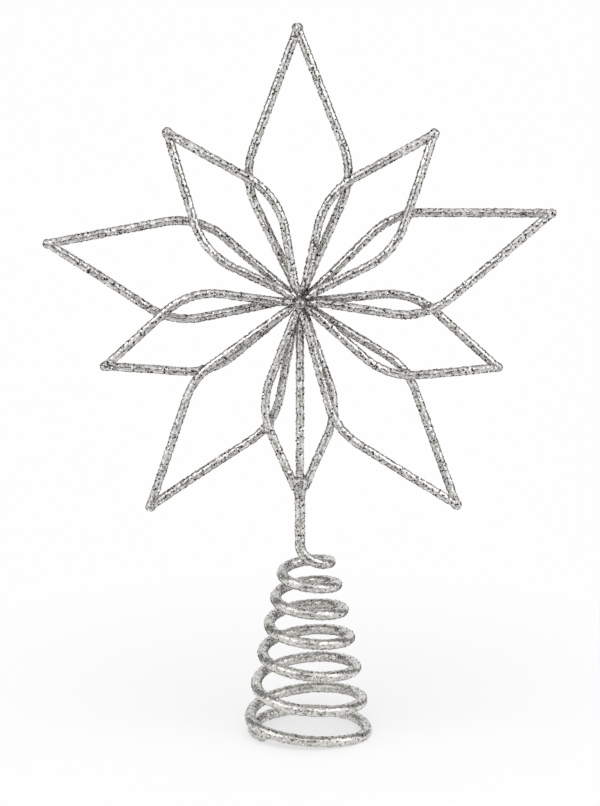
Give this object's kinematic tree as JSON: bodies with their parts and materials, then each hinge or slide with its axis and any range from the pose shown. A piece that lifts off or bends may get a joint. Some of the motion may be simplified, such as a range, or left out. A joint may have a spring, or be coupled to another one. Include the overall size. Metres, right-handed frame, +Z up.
{
  "type": "christmas tree topper star",
  "caption": "Star of bent, welded wire petals on a stem that runs into a conical coil spring, which slips over the top shoot of a tree and holds the star upright.",
  "frame": {"origin": "centre of the spring's mouth, on the plane that the foot of the spring stands on", "axes": "+Z up along the spring's axis, -Y out of the face of the star, +X to the right seen from the front"},
  "size_m": [0.21, 0.0508, 0.304],
  "materials": {
    "petal_wire": "silver glitter coat on steel wire",
    "spring_wire": "silver glitter coat on spring steel wire, a little duller and warmer",
    "weld_bead": "silver glitter coat over lumps of weld"
  },
  "bodies": {
    "spring": {"tree_spring": "spring_wire"},
    "star": {"bottom_bottom_right_crossing_weld": "weld_bead", "bottom_left_bottom_crossing_weld": "weld_bead", "bottom_left_petal_left_wire": "petal_wire", "bottom_left_petal_right_wire": "petal_wire", "bottom_left_petal_tip_bead": "weld_bead", "bottom_petal_left_wire": "petal_wire", "bottom_petal_right_wire": "petal_wire", "bottom_right_lower_right_crossing_weld": "weld_bead", "bottom_right_petal_left_wire": "petal_wire", "bottom_right_petal_right_wire": "petal_wire", "bottom_right_petal_tip_bead": "weld_bead", "hub_ball": "weld_bead", "hub_pin": "weld_bead", "left_lower_left_crossing_weld": "weld_bead", "left_petal_left_wire": "petal_wire", "left_petal_right_wire": "petal_wire", "left_petal_tip_bead": "weld_bead", "lower_left_bottom_left_crossing_weld": "weld_bead", "lower_left_petal_left_wire": "petal_wire", "lower_left_petal_right_wire": "petal_wire", "lower_left_petal_tip_bead": "weld_bead", "lower_right_petal_left_wire": "petal_wire", "lower_right_petal_right_wire": "petal_wire", "lower_right_petal_tip_bead": "weld_bead", "lower_right_right_crossing_weld": "weld_bead", "right_petal_left_wire": "petal_wire", "right_petal_right_wire": "petal_wire", "right_petal_tip_bead": "weld_bead", "right_upper_right_crossing_weld": "weld_bead", "spine": "petal_wire", "stem": "spring_wire", "stem_weld": "weld_bead", "top_petal_left_wire": "petal_wire", "top_petal_right_wire": "petal_wire", "top_petal_tip_bead": "weld_bead", "top_upper_left_crossing_weld": "weld_bead", "upper_left_left_crossing_weld": "weld_bead", "upper_left_petal_left_wire": "petal_wire", "upper_left_petal_right_wire": "petal_wire", "upper_left_petal_tip_bead": "weld_bead", "upper_right_petal_left_wire": "petal_wire", "upper_right_petal_right_wire": "petal_wire", "upper_right_petal_tip_bead": "weld_bead", "upper_right_top_crossing_weld": "weld_bead"}
  },
  "joints": [
    {"name": "spring_press", "type": "slide", "parent": "spring", "child": "star", "axis": [0, 0, 1], "range_m": [-0.025, 0.005], "stiffness_N_per_m": 3200, "springref_m": 0.00045, "deforming": ["tree_spring"]}
  ]
}
